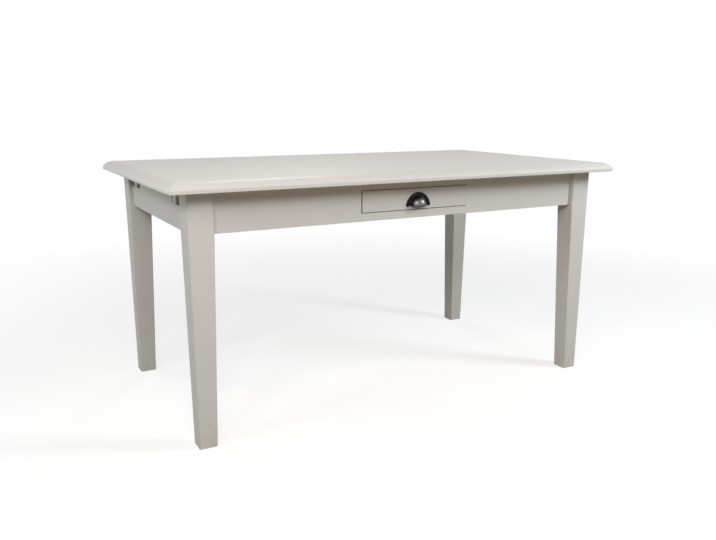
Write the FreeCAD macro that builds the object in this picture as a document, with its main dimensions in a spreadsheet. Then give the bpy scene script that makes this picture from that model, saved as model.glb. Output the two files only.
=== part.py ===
"""A painted kitchen table: drawer in the front apron, sliding leaf arms at both ends.

Millimetres. +X runs along the table, the drawer faces -Y and +Z is up.
The origin is on the floor under the middle of the top.
"""
import FreeCAD, Part
import math
import os

import Sketcher

Vector = FreeCAD.Vector
Rotation = FreeCAD.Rotation
Placement = FreeCAD.Placement

doc = FreeCAD.newDocument("KitchenTable")
sheet = doc.addObject("Spreadsheet::Sheet", "Sizes")
nodes = []


# ---------------------------------------------------------------------------
# Sizes
# ---------------------------------------------------------------------------

class Size:
    """A length that knows its millimetres and the sheet formula that drives it."""

    def __init__(self, number, text):
        self.number = number
        self.text = text

    def __add__(self, other):
        other = as_size(other)
        return Size(self.number + other.number, f"({self.text} + {other.text})")

    def __sub__(self, other):
        other = as_size(other)
        return Size(self.number - other.number, f"({self.text} - {other.text})")

    def __mul__(self, factor):
        factor = as_size(factor)
        return Size(self.number * factor.number, f"({self.text} * {factor.text})")

    def __truediv__(self, divisor):
        divisor = as_size(divisor)
        return Size(self.number / divisor.number, f"({self.text} / {divisor.text})")

    def __rsub__(self, other):
        return as_size(other) - self

    def __neg__(self):
        return Size(-self.number, f"(0 - {self.text})")

    def along(self, angle):
        """The two parts of this length when it points at an angle in degrees."""
        swing = math.radians(angle.number)
        return (Size(self.number * math.cos(swing), f"({self.text} * cos({angle.text}))"),
                Size(self.number * math.sin(swing), f"({self.text} * sin({angle.text}))"))

    __radd__ = __add__
    __rmul__ = __mul__


def as_size(value):
    """Let plain numbers stand beside Sizes in a formula."""
    return value if isinstance(value, Size) else Size(float(value), repr(float(value)))


def driving(alias, number):
    """Put one driving dimension in the next row of the sheet."""
    driving.row += 1
    sheet.set(f"A{driving.row}", alias)
    sheet.set(f"B{driving.row}", str(number))
    sheet.setAlias(f"B{driving.row}", alias)
    return Size(float(number), f"Sizes.{alias}")


driving.row = 0
ZERO = as_size(0)
SAME_PLACE = 1e-4
LEAST_CUT = 1.0

table_length = driving("table_length", 1600)
table_width = driving("table_width", 900)
table_height = driving("table_height", 780)

run_out = driving("run_out", 1)
top_thickness = driving("top_thickness", 30)
top_edge_run = driving("top_edge_run", 36)
top_edge_drop = driving("top_edge_drop", 20)
top_corner_round = driving("top_corner_round", 6)
top_under_round = driving("top_under_round", 2)

end_overhang = driving("end_overhang", 60)
side_overhang = driving("side_overhang", 55)
leg_width = driving("leg_width", 74)
foot_width = driving("foot_width", 54)
leg_edge_round = driving("leg_edge_round", 3)

apron_height = driving("apron_height", 120)
apron_thickness = driving("apron_thickness", 22)
apron_setback = driving("apron_setback", 12)
apron_edge_round = driving("apron_edge_round", 1.5)

notch_depth = driving("notch_depth", 50)
notch_inner_edge = driving("notch_inner_edge", 200)

arm_width = driving("arm_width", 36)
arm_height = driving("arm_height", 48)
arm_reach = driving("arm_reach", 250)
arm_inner_lane = driving("arm_inner_lane", 227)
arm_travel = driving("arm_travel", 385)
lane_gap = driving("lane_gap", 2)
slide_gap = driving("slide_gap", 0.3)
peg_radius = driving("peg_radius", 5)
peg_depth = driving("peg_depth", 20)
peg_stand = driving("peg_stand", 19)

bearer_offset = driving("bearer_offset", 210)
bearer_thickness = driving("bearer_thickness", 22)
bearer_height = driving("bearer_height", 100)
housing_depth = driving("housing_depth", 5)

opening_width = driving("opening_width", 396)
opening_height = driving("opening_height", 70)
opening_rail = driving("opening_rail", 25)
drawer_gap = driving("drawer_gap", 2)
front_shift = driving("front_shift", 1.5)
drawer_front_thickness = driving("drawer_front_thickness", 20)
drawer_edge_round = driving("drawer_edge_round", 1.5)
box_width = driving("box_width", 376)
box_depth = driving("box_depth", 340)
box_rise = driving("box_rise", 4)
side_thickness = driving("side_thickness", 12)
side_height = driving("side_height", 39)
panel_thickness = driving("panel_thickness", 4)
panel_rise = driving("panel_rise", 5)
groove_depth = driving("groove_depth", 5)
runner_groove_height = driving("runner_groove_height", 12)
runner_rise = driving("runner_rise", 17)
runner_stop = driving("runner_stop", 6)
runner_length = driving("runner_length", 300)

pull_offset = driving("pull_offset", 8)
pull_height = driving("pull_height", 9)
pull_half_width = driving("pull_half_width", 45.5)
pull_plate_thickness = driving("pull_plate_thickness", 2.5)
pull_plate_radius = driving("pull_plate_radius", 44.5)
pull_plate_angle = driving("pull_plate_angle", 3.5)
pull_ear_radius = driving("pull_ear_radius", 6.5)
pull_ear_height = driving("pull_ear_height", 6)
pull_dome_radius = driving("pull_dome_radius", 29.5)
pull_dome_angle = driving("pull_dome_angle", 10.75)
pull_dome_rise = driving("pull_dome_rise", 4.5)
pull_wall = driving("pull_wall", 2.5)
pull_hole_radius = driving("pull_hole_radius", 25)

brace_thickness = driving("brace_thickness", 22)
brace_height = driving("brace_height", 62)
brace_rise = driving("brace_rise", 4)
brace_clearance = driving("brace_clearance", 5.5)
brace_screw_spread = driving("brace_screw_spread", 68)
brace_screw_pitch = driving("brace_screw_pitch", 34)

bolt_radius = driving("bolt_radius", 4)
bolt_hole_radius = driving("bolt_hole_radius", 4.5)
bolt_bevel = driving("bolt_bevel", 0.8)
bolt_bite = driving("bolt_bite", 40)
bolt_tail = driving("bolt_tail", 5)
washer_radius = driving("washer_radius", 12)
washer_thickness = driving("washer_thickness", 2)
nut_width = driving("nut_width", 13)
nut_thickness = driving("nut_thickness", 6.5)

screw_radius = driving("screw_radius", 2)
screw_clearance = driving("screw_clearance", 0.05)
screw_head_radius = driving("screw_head_radius", 4)
screw_head_height = driving("screw_head_height", 2.4)
bracket_size = driving("bracket_size", 25)
bracket_width = driving("bracket_width", 30)
bracket_thickness = driving("bracket_thickness", 2)
bracket_hole = driving("bracket_hole", 14)
bracket_hole_radius = driving("bracket_hole_radius", 2.25)
bracket_near = driving("bracket_near", 340)
bracket_far = driving("bracket_far", 560)
bracket_end = driving("bracket_end", 120)
bracket_screw_length = driving("bracket_screw_length", 16)
brace_screw_length = driving("brace_screw_length", 35)
runner_screw_length = driving("runner_screw_length", 36)
runner_screw_inset = driving("runner_screw_inset", 30)
pull_screw_radius = driving("pull_screw_radius", 1.5)
pull_screw_length = driving("pull_screw_length", 14)
pull_screw_head_radius = driving("pull_screw_head_radius", 3)
pull_screw_head_height = driving("pull_screw_head_height", 1.5)

doc.recompute()

# Planes that several pieces share. Left is -X and front is -Y.
top_underside = table_height - top_thickness
apron_bottom = top_underside - apron_height
leg_face_x = table_length / 2 - end_overhang
leg_face_y = table_width / 2 - side_overhang
apron_face_x = leg_face_x - apron_setback
apron_face_y = leg_face_y - apron_setback
apron_back_x = apron_face_x - apron_thickness
apron_back_y = apron_face_y - apron_thickness
apron_half_x = leg_face_x - leg_width
apron_half_y = leg_face_y - leg_width
notch_floor = top_underside - notch_depth
arm_outer_lane = arm_inner_lane + arm_width + lane_gap


# ---------------------------------------------------------------------------
# Building blocks
# ---------------------------------------------------------------------------

def drive(item, path, size):
    """Bind one property of an object to its formula in the sheet."""
    item.setExpression(path, as_size(size).text)


def drive_place(item, place):
    """Bind the three coordinates of an object's placement."""
    for axis, size in zip("xyz", place):
        drive(item, f"Placement.Base.{axis}", size)


def named(item, name):
    """Register a finished sub-part under the name of its node."""
    item.Label = name
    nodes.append(item)
    return item


def body(name, place, turn=0):
    """An empty body at its place, turned about the vertical."""
    item = doc.addObject("PartDesign::Body", "Body_" + name)
    item.Placement = Placement(Vector(), Rotation(Vector(0, 0, 1), turn))
    drive_place(item, place)
    return named(item, name)


def sketch_on(owner, name, plane, offset=ZERO):
    """A sketch on one of a body's own origin planes, moved along its normal."""
    sketch = owner.newObject("Sketcher::SketchObject", f"{owner.Label}_{name}")
    support = next(item for item in owner.Origin.OriginFeatures if item.Role == plane)
    sketch.AttachmentSupport = [(support, "")]
    sketch.MapMode = "FlatFace"
    drive(sketch, "AttachmentOffset.Base.z", offset)
    return sketch


def pin_point(sketch, geometry, vertex, u, v):
    """Hold one point of a sketch at its two driven coordinates."""
    for kind, size in (("DistanceX", as_size(u)), ("DistanceY", as_size(v))):
        index = sketch.addConstraint(Sketcher.Constraint(kind, -1, 1, geometry, vertex, size.number))
        sketch.setExpression(f"Constraints[{index}]", size.text)


def arc_between(start, end, radius, turn):
    """The short arc between two points, turning left (+1) or right (-1) on the way."""
    chord = end - start
    rise = math.sqrt(max(radius ** 2 - (chord.Length / 2) ** 2, 0))
    left = Vector(-chord.y, chord.x, 0).normalize()
    centre = (start + end) / 2 + left * rise * turn
    ends = (start, end) if turn > 0 else (end, start)
    angles = [math.atan2(point.y - centre.y, point.x - centre.x) for point in ends]
    return Part.ArcOfCircle(Part.Circle(centre, Vector(0, 0, 1), radius), *angles)


def outline(sketch, corners, arcs=None):
    """Draw a closed outline through driven corners.

    arcs names the sides that are round: side number to (radius, +1 for a left turn or -1 for a right).
    """
    corners = [(as_size(u), as_size(v)) for u, v in corners]
    first = sketch.GeometryCount
    count = len(corners)
    rounds = [(arcs or {}).get(index) for index in range(count)]
    for index, side in enumerate(rounds):
        start = Vector(*(size.number for size in corners[index]), 0)
        end = Vector(*(size.number for size in corners[(index + 1) % count]), 0)
        shape = arc_between(start, end, side[0].number, side[1]) if side else Part.LineSegment(start, end)
        sketch.addGeometry(shape, False)
    begins = [2 if side and side[1] < 0 else 1 for side in rounds]
    for index, side in enumerate(rounds):
        following = (index + 1) % count
        joint = (first + index, 3 - begins[index], first + following, begins[following])
        sketch.addConstraint(Sketcher.Constraint("Coincident", *joint))
        if side:
            number = sketch.addConstraint(Sketcher.Constraint("Radius", first + index, side[0].number))
            sketch.setExpression(f"Constraints[{number}]", side[0].text)
    for index, (u, v) in enumerate(corners):
        pin_point(sketch, first + index, begins[index], u, v)


def rectangle(sketch, low_u, low_v, high_u, high_v):
    """Draw a rectangle from its low corner to its high corner."""
    outline(sketch, [(low_u, low_v), (high_u, low_v), (high_u, high_v), (low_u, high_v)])


def circle(sketch, u, v, radius):
    """Draw a circle about a driven centre."""
    u, v, radius = as_size(u), as_size(v), as_size(radius)
    shape = Part.Circle(Vector(u.number, v.number, 0), Vector(0, 0, 1), radius.number)
    geometry = sketch.addGeometry(shape, False)
    index = sketch.addConstraint(Sketcher.Constraint("Radius", geometry, radius.number))
    sketch.setExpression(f"Constraints[{index}]", radius.text)
    pin_point(sketch, geometry, 3, u, v)


def pad(owner, sketch, length):
    """Raise a sketch along its normal."""
    feature = owner.newObject("PartDesign::Pad", sketch.Name + "_pad")
    feature.Profile = sketch
    drive(feature, "Length", length)
    doc.recompute()
    return feature


def pocket(owner, sketch, depth=None, along_normal=False):
    """Cut a sketch into its body, right through both ways when no depth is given."""
    before = owner.Tip.Shape.Volume
    feature = owner.newObject("PartDesign::Pocket", sketch.Name + "_cut")
    feature.Profile = sketch
    if depth is None:
        feature.Type = "ThroughAll"
        feature.SideType = "Symmetric"
    else:
        feature.Reversed = along_normal
        drive(feature, "Length", depth)
    doc.recompute()
    if feature.Shape.Volume > before - LEAST_CUT:
        raise RuntimeError(f"{feature.Name} cuts nothing")
    return feature


def round_edges(owner, radius, chosen):
    """Round the edges of a body's tip whose two ends pass the test."""
    base = owner.Tip
    names = []
    for index, edge in enumerate(base.Shape.Edges, start=1):
        if chosen([vertex.Point for vertex in edge.Vertexes]):
            names.append(f"Edge{index}")
    feature = owner.newObject("PartDesign::Fillet", f"{owner.Name}_round")
    feature.Base = (base, names)
    drive(feature, "Radius", radius)
    doc.recompute()
    return feature


def board(name, place, plane, corners, thickness, turn=0):
    """A flat board: an outline on one of its origin planes, raised by its thickness."""
    item = body(name, place, turn)
    sketch = sketch_on(item, "outline", plane)
    outline(sketch, corners)
    pad(item, sketch, thickness)
    return item


def bore(owner, start, direction, radius, depth):
    """Drill one straight hole into a body, from a point in the body's own frame."""
    before = owner.Tip.Shape.Volume
    feature = owner.newObject("PartDesign::SubtractiveCylinder", owner.Name + "_bore")
    feature.Placement = Placement(Vector(), Rotation(Vector(0, 0, 1), Vector(*direction)))
    drive_place(feature, start)
    drive(feature, "Radius", radius)
    drive(feature, "Height", depth)
    doc.recompute()
    if feature.Shape.Volume > before - LEAST_CUT:
        raise RuntimeError(f"{feature.Name} cuts nothing")
    return feature


def is_at(points, axis, value):
    """Whether all the points lie at one coordinate along an axis."""
    return all(abs(point[axis] - value) < SAME_PLACE for point in points)


def box(name, low, lengths):
    """A plain block from its low corner and its three lengths."""
    item = doc.addObject("Part::Box", "Box_" + name)
    for side, length in zip(("Length", "Width", "Height"), lengths):
        drive(item, side, length)
    drive_place(item, low)
    return named(item, name)


# ---------------------------------------------------------------------------
# Fastener shapes, each along +Z from where it seats
# ---------------------------------------------------------------------------

# Shares of a pan head: its flat crown's radius, and the height of its upright rim.
CROWN_SHARE = 0.7
RIM_SHARE = 0.4


def flat_head_screw(radius, length, head_radius):
    """Countersunk screw: its flat head is at z = 0 and its point at z = length."""
    head = head_radius - radius
    profile = [(0, 0), (head_radius, 0), (radius, head), (radius, length - 2 * radius), (0, length)]
    return turned(profile)


def pan_head_screw(radius, length, head_radius, head_height):
    """Pan-head screw: its head sits on z = 0 and its point is at z = length."""
    profile = [(0, -head_height), (head_radius * CROWN_SHARE, -head_height),
               (head_radius, -head_height * RIM_SHARE),
               (head_radius, 0), (radius, 0), (radius, length - 2 * radius), (0, length)]
    return turned(profile)


def turned(profile):
    """Turn a profile of (radius, height) points about the Z axis."""
    points = [Vector(radius, 0, height) for radius, height in profile]
    face = Part.Face(Part.makePolygon(points + points[:1]))
    return face.revolve(Vector(), Vector(0, 0, 1), 360)


def aimed(shape, place, direction):
    """Copy a fastener to its seat, with its own +Z along a direction."""
    moved = shape.copy()
    moved.Placement = Placement(Vector(*place), Rotation(Vector(0, 0, 1), Vector(*direction)))
    return moved


def group(name, shapes):
    """Identical fasteners as one node of separate solids."""
    item = doc.addObject("Part::Feature", "Group_" + name)
    item.Shape = Part.makeCompound(shapes)
    item.Placement = Placement()
    return named(item, name)


# ---------------------------------------------------------------------------
# Top: one panel whose upper edge rolls down in a shallow curve to a narrow flat
# ---------------------------------------------------------------------------

# The curve starts level with the top, so its run and its drop give its radius.
edge_radius = (top_edge_run * top_edge_run + top_edge_drop * top_edge_drop) / (top_edge_drop * 2)


def routed_waste(sketch, side, reach):
    """The waste above the rolled edge along one side of the top."""
    low = top_thickness - top_edge_drop
    clear = top_edge_drop
    corners = [(side * reach, low), (side * (reach + clear), low),
               (side * (reach + clear), top_thickness + clear),
               (side * (reach - top_edge_run), top_thickness + clear),
               (side * (reach - top_edge_run), top_thickness)]
    outline(sketch, corners, {4: (edge_radius, -side)})


half_length = table_length / 2
half_width = table_width / 2
top = board("table_top", (0, 0, top_underside), "XY_Plane",
            [(-half_length, -half_width), (half_length, -half_width),
             (half_length, half_width), (-half_length, half_width)], top_thickness)
round_edges(top, top_corner_round, lambda ends: is_at(ends, 0, ends[0].x) and is_at(ends, 1, ends[0].y))
for plane, reach in (("XZ_Plane", half_length), ("YZ_Plane", half_width)):
    waste = sketch_on(top, "waste", plane)
    routed_waste(waste, -1, reach)
    routed_waste(waste, 1, reach)
    pocket(top, waste)
round_edges(top, top_under_round, lambda ends: is_at(ends, 2, 0))


# ---------------------------------------------------------------------------
# Legs: square above, the two inner faces tapering from the aprons to the foot
# ---------------------------------------------------------------------------

HALF_ROOT = math.sqrt(0.5)
bolt_height = apron_bottom + brace_rise + brace_height / 2


def rounded_square(sketch, width):
    """A square with eased corners, from its outer corner inwards."""
    ease = leg_edge_round
    far = width - ease
    outline(sketch, [(ease, 0), (far, 0), (width, ease), (width, far),
                     (far, width), (ease, width), (0, far), (0, ease)],
            {side: (ease, 1) for side in (1, 3, 5, 7)})


def leg(name, side_x, side_y, turn):
    """One leg. Its own frame starts at its outer corner on the floor and points inwards."""
    item = body(name, (side_x * leg_face_x, side_y * leg_face_y, 0), turn)
    shoulder = sketch_on(item, "shoulder", "XY_Plane", apron_bottom)
    rounded_square(shoulder, leg_width)
    pad(item, shoulder, apron_height)
    foot = sketch_on(item, "foot", "XY_Plane")
    rounded_square(foot, foot_width)
    taper = item.newObject("PartDesign::AdditiveLoft", item.Name + "_taper")
    taper.Profile = shoulder
    taper.Sections = [foot]
    doc.recompute()
    deep_end = leg_width - bolt_bite * HALF_ROOT
    bore(item, (deep_end, deep_end, bolt_height), (1, 1, 0),
         bolt_radius + screw_clearance, bolt_bite + run_out)
    return item


leg("leg_front_left", -1, -1, 0)
leg("leg_front_right", 1, -1, 90)
leg("leg_back_right", 1, 1, 180)
leg("leg_back_left", -1, 1, 270)


# ---------------------------------------------------------------------------
# Aprons: boards between the legs, set back from the legs' outer faces
# ---------------------------------------------------------------------------

# Distances of a corner brace from the inner corner of the aprons, along the diagonal.
brace_outer = (apron_back_x - apron_half_x) * math.sqrt(2) + brace_clearance
brace_inner = brace_outer + brace_thickness
brace_screw_along = (brace_inner + brace_screw_spread) * HALF_ROOT
brace_screw_off = (brace_inner - brace_screw_spread) * HALF_ROOT
brace_screw_heights = [brace_height / 2 + side * brace_screw_pitch / 2 for side in (-1, 1)]
pilot_radius = screw_radius + screw_clearance
bracket_pilot = bracket_screw_length - bracket_thickness + screw_clearance
bracket_height = apron_height - bracket_hole


def long_apron(name, side, turn):
    """A long apron. Its own frame starts at its inner face, with the outside towards -Y."""
    item = board(name, (0, side * apron_back_y, apron_bottom), "XZ_Plane",
                 [(-apron_half_x, 0), (apron_half_x, 0), (apron_half_x, apron_height),
                  (-apron_half_x, apron_height)], apron_thickness, turn)
    housings = sketch_on(item, "housings", "XZ_Plane")
    for low in (-(bearer_offset + bearer_thickness), bearer_offset):
        rectangle(housings, low, apron_height - bearer_height,
                  low + bearer_thickness, apron_height + run_out)
    pocket(item, housings, housing_depth, along_normal=True)
    for end in (-1, 1):
        for height in brace_screw_heights:
            start = (end * (apron_back_x - brace_screw_along), brace_screw_off, brace_rise + height)
            bore(item, start, (end, -1, 0), pilot_radius, brace_screw_length + screw_clearance)
        for spot in (bracket_near, bracket_far):
            bore(item, (end * spot, 0, bracket_height), (0, -1, 0), pilot_radius, bracket_pilot)
    return item


def end_apron(name, side, turn):
    """An end apron with a notch beside each leg. The outside is towards its own +X."""
    shelf = apron_height - notch_depth
    item = board(name, (side * apron_back_x, 0, apron_bottom), "YZ_Plane",
                 [(-apron_half_y, 0), (apron_half_y, 0), (apron_half_y, shelf),
                  (notch_inner_edge, shelf), (notch_inner_edge, apron_height),
                  (-notch_inner_edge, apron_height), (-notch_inner_edge, shelf),
                  (-apron_half_y, shelf)], apron_thickness, turn)
    round_edges(item, apron_edge_round,
                lambda ends: is_at(ends, 0, apron_thickness.number) and not is_at(ends, 1, ends[0].y))
    for end in (-1, 1):
        for height in brace_screw_heights:
            start = (-brace_screw_off, end * (apron_back_y - brace_screw_along), brace_rise + height)
            bore(item, start, (1, end, 0), pilot_radius, brace_screw_length + screw_clearance)
        bore(item, (0, end * bracket_end, bracket_height), (1, 0, 0), pilot_radius, bracket_pilot)
    return item


front = long_apron("apron_front", -1, 0)
opening = sketch_on(front, "opening", "XZ_Plane")
rectangle(opening, -opening_width / 2, opening_rail, opening_width / 2, opening_rail + opening_height)
pocket(front, opening)
back = long_apron("apron_back", 1, 180)
for apron in (front, back):
    round_edges(apron, apron_edge_round,
                lambda ends: is_at(ends, 1, -apron_thickness.number) and is_at(ends, 2, 0))
end_apron("apron_left", -1, 180)
end_apron("apron_right", 1, 0)


# ---------------------------------------------------------------------------
# Bearers: cross rails that carry the arms' inner ends and the drawer's runners
# ---------------------------------------------------------------------------

lane_inner_edge = arm_inner_lane - arm_width / 2 - lane_gap
lane_outer_edge = arm_outer_lane + arm_width / 2 + lane_gap
drawer_back_y = -apron_face_y + drawer_front_thickness
box_bottom = apron_bottom + opening_rail + box_rise
runner_front_y = drawer_back_y + runner_stop + slide_gap
runner_mid_height = box_bottom + runner_rise + runner_groove_height / 2
runner_screw_places = [runner_front_y + runner_screw_inset, runner_front_y + runner_length / 2,
                       runner_front_y + runner_length - runner_screw_inset]
runner_inner_x = box_width / 2 - groove_depth + slide_gap
runner_width = bearer_offset - runner_inner_x


def bearer(name, side, turn):
    """A cross rail, notched for two arms at each end. Its own +X points to its table end."""
    shelf = bearer_height - notch_depth
    reach = apron_back_y + housing_depth
    half = [(reach, bearer_height), (lane_outer_edge, bearer_height), (lane_outer_edge, shelf),
            (lane_inner_edge, shelf), (lane_inner_edge, bearer_height)]
    mirrored = [(-u, v) for u, v in reversed(half)]
    item = board(name, (side * bearer_offset, 0, top_underside - bearer_height), "YZ_Plane",
                 [(-reach, 0), (reach, 0)] + half + mirrored, bearer_thickness, turn)
    height = runner_mid_height - top_underside + bearer_height
    for place in runner_screw_places:
        bore(item, (0, side * place, height), (1, 0, 0), pilot_radius,
             runner_screw_length - runner_width + screw_clearance)
    return item


bearer("bearer_left", -1, 180)
bearer("bearer_right", 1, 0)


# ---------------------------------------------------------------------------
# Arms: bars that slide out of the ends, two side by side in each pair of notches
# ---------------------------------------------------------------------------

arm_length = apron_face_x + arm_reach
arm_bottom = notch_floor + slide_gap
peg_along = apron_face_x - bearer_offset + peg_radius + slide_gap + arm_travel


def arm(place_name, side, lane, turn):
    """An arm and the peg that stops it. Its own frame starts at its outer end, pointing inwards."""
    half = arm_width / 2
    item = board("arm_" + place_name, (side * apron_face_x, lane, arm_bottom), "YZ_Plane",
                 [(-half, 0), (half, 0), (half, arm_height), (-half, arm_height)], arm_length, turn)
    round_edges(item, apron_edge_round, lambda ends: True)
    bore(item, (peg_along, half - peg_depth, arm_height / 2), (0, 1, 0), peg_radius, peg_depth + run_out)
    peg = doc.addObject("Part::Cylinder", "Peg_" + place_name)
    peg.Placement = Placement(Vector(), Rotation(Vector(0, 0, 1), Vector(0, -side, 0)))
    drive(peg, "Radius", peg_radius)
    drive(peg, "Height", peg_depth + peg_stand)
    drive_place(peg, (side * (apron_face_x - peg_along), lane - side * (half - peg_depth),
                      arm_bottom + arm_height / 2))
    named(peg, "arm_peg_" + place_name)


arm("left_front", -1, -arm_inner_lane, 0)
arm("left_back", -1, arm_outer_lane, 0)
arm("right_front", 1, -arm_outer_lane, 180)
arm("right_back", 1, arm_inner_lane, 180)


# ---------------------------------------------------------------------------
# Drawer: a shallow box behind a flush front, hung on runners in its grooved sides
# ---------------------------------------------------------------------------

front_half = opening_width / 2 - drawer_gap
front_bottom = apron_bottom + opening_rail + drawer_gap
front_height = opening_height - 2 * drawer_gap
panel_bottom = box_bottom + panel_rise
side_inner_x = box_width / 2 - side_thickness
panel_half = side_inner_x + groove_depth
box_back_y = drawer_back_y + box_depth

drawer_front = board("drawer_front", (0, drawer_back_y, front_bottom), "XZ_Plane",
                     [(front_shift - front_half, 0), (front_shift + front_half, 0),
                      (front_shift + front_half, front_height),
                      (front_shift - front_half, front_height)], drawer_front_thickness)
slot = sketch_on(drawer_front, "panel_slot", "XZ_Plane")
rectangle(slot, -panel_half, panel_bottom - front_bottom,
          panel_half, panel_bottom + panel_thickness - front_bottom)
pocket(drawer_front, slot, groove_depth, along_normal=True)
round_edges(drawer_front, drawer_edge_round,
            lambda ends: is_at(ends, 1, -drawer_front_thickness.number))


def drawer_side(name, side):
    """A side, grooved inside for the bottom panel and outside for its runner."""
    low_x = side_inner_x if side > 0 else -box_width / 2
    item = board(name, (low_x, drawer_back_y, box_bottom), "YZ_Plane",
                 [(0, 0), (box_depth, 0), (box_depth, side_height), (0, side_height)], side_thickness)
    inner_groove = sketch_on(item, "panel_groove", "XZ_Plane")
    low = 0 if side > 0 else side_thickness - groove_depth
    rectangle(inner_groove, low, panel_rise, low + groove_depth, panel_rise + panel_thickness)
    pocket(item, inner_groove)
    outer_face = side_thickness if side > 0 else ZERO
    outer_groove = sketch_on(item, "runner_groove", "YZ_Plane", outer_face)
    rectangle(outer_groove, runner_stop, runner_rise,
              box_depth + run_out, runner_rise + runner_groove_height)
    pocket(item, outer_groove, groove_depth, along_normal=side < 0)
    return item


drawer_side("drawer_side_left", -1)
drawer_side("drawer_side_right", 1)
back_bottom = panel_bottom + panel_thickness
back_height = box_bottom + side_height - back_bottom
board("drawer_back", (0, box_back_y, back_bottom), "XZ_Plane",
      [(-side_inner_x, 0), (side_inner_x, 0), (side_inner_x, back_height), (-side_inner_x, back_height)],
      side_thickness)
box("drawer_bottom", (-panel_half, drawer_back_y - groove_depth, panel_bottom),
    (2 * panel_half, box_depth + groove_depth, panel_thickness))


def runner(name, side):
    """A strip on a bearer's face that fills the groove of the drawer's side."""
    low_x = runner_inner_x if side > 0 else -bearer_offset
    height = runner_groove_height - 2 * slide_gap
    item = board(name, (low_x, runner_front_y, runner_mid_height - height / 2), "YZ_Plane",
                 [(0, 0), (runner_length, 0), (runner_length, height), (0, height)], runner_width)
    face = ZERO if side > 0 else runner_width
    for place in runner_screw_places:
        seat = (face, place - runner_front_y, height / 2)
        bore(item, seat, (side, 0, 0), pilot_radius, runner_width)
        sink = item.newObject("PartDesign::SubtractiveCone", name + "_sink")
        sink.Placement = Placement(Vector(), Rotation(Vector(0, 0, 1), Vector(side, 0, 0)))
        drive_place(sink, seat)
        drive(sink, "Radius1", screw_head_radius + screw_clearance)
        drive(sink, "Radius2", pilot_radius)
        drive(sink, "Height", screw_head_radius - screw_radius)
        doc.recompute()
    return item


runner("runner_left", -1)
runner("runner_right", 1)
runner_screw = flat_head_screw(screw_radius.number, runner_screw_length.number, screw_head_radius.number)
group("runner_screws",
      [aimed(runner_screw, (side * runner_inner_x.number, place.number, runner_mid_height.number),
             (side, 0, 0))
       for side in (-1, 1) for place in runner_screw_places])


# ---------------------------------------------------------------------------
# Cup pull: a half-round plate with two ears, and a dome that is open below. The dome is part of
# a ball whose centre lies behind the plate and a little above the lip, so it stands out less than
# it is wide and draws in towards the lip.
# ---------------------------------------------------------------------------

pull_place = (pull_offset, -apron_face_y, front_bottom + pull_height)
plate_x, plate_bottom = pull_plate_radius.along(pull_plate_angle)
ear_x = pull_half_width - pull_ear_radius

pull = body("cup_pull", pull_place)
plate = sketch_on(pull, "plate", "XZ_Plane")
outline(plate, [(-plate_x, plate_bottom), (plate_x, plate_bottom)], {1: (pull_plate_radius, 1)})
pad(pull, plate, pull_plate_thickness)
ears = sketch_on(pull, "ears", "XZ_Plane")
for side in (-1, 1):
    circle(ears, side * ear_x, pull_ear_height, pull_ear_radius)
pad(pull, ears, pull_plate_thickness)
dome_inside = pull_dome_radius - pull_wall
outer_x, outer_depth = pull_dome_radius.along(pull_dome_angle)
inner_x, inner_depth = dome_inside.along(pull_dome_angle)
dome = sketch_on(pull, "dome", "XY_Plane", pull_dome_rise)
outline(dome, [(-outer_x, 0), (-inner_x, 0),
               (0, inner_depth - dome_inside), (0, outer_depth - pull_dome_radius)],
        {1: (dome_inside, 1), 3: (pull_dome_radius, -1)})
shell = pull.newObject("PartDesign::Revolution", "Pull_shell")
shell.Profile = dome
shell.ReferenceAxis = (dome, ["V_Axis"])
shell.Angle = 360
doc.recompute()
below = sketch_on(pull, "below", "XZ_Plane")
rectangle(below, -pull_dome_radius, -pull_dome_radius, pull_dome_radius, 0)
pocket(pull, below, pull_dome_radius, along_normal=True)
hollow = sketch_on(pull, "hollow", "XZ_Plane")
circle(hollow, 0, pull_dome_rise, pull_hole_radius)
pocket(pull, hollow, pull_plate_thickness, along_normal=True)
for side in (-1, 1):
    seat = (side * ear_x, 0, pull_ear_height)
    bore(pull, seat, (0, -1, 0), pull_screw_radius + screw_clearance, pull_plate_thickness)
    bore(drawer_front,
         (pull_offset + side * ear_x, -drawer_front_thickness, pull_height + pull_ear_height),
         (0, 1, 0), pull_screw_radius + screw_clearance, pull_screw_length)

pull_screw = pan_head_screw(pull_screw_radius.number, pull_screw_length.number,
                            pull_screw_head_radius.number, pull_screw_head_height.number)
group("pull_screws",
      [aimed(pull_screw, ((pull_offset + side * ear_x).number,
                          (-apron_face_y - pull_plate_thickness).number,
                          (pull_place[2] + pull_ear_height).number), (0, 1, 0))
       for side in (-1, 1)])


# ---------------------------------------------------------------------------
# Corner braces, with the bolts that pull the legs in
# ---------------------------------------------------------------------------

table_corners = {"front_left": (-1, -1, 45), "front_right": (1, -1, 135),
                 "back_right": (1, 1, 225), "back_left": (-1, 1, 315)}
brace_bottom = apron_bottom + brace_rise


def brace(name, side_x, side_y, turn):
    """A block across one corner. Its own +X runs from the corner into the table."""
    item = board("brace_" + name, (side_x * apron_back_x, side_y * apron_back_y, brace_bottom),
                 "XY_Plane", [(brace_outer, -brace_outer), (brace_inner, -brace_inner),
                              (brace_inner, brace_inner), (brace_outer, brace_outer)],
                 brace_height, turn)
    bore(item, (brace_outer - run_out, 0, brace_height / 2), (1, 0, 0), bolt_hole_radius,
         brace_thickness + 2 * run_out)
    for side in (-1, 1):
        for height in brace_screw_heights:
            bore(item, (brace_inner, side * brace_screw_spread, height), (-1, 0, 0),
                 pilot_radius, brace_thickness)


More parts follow.
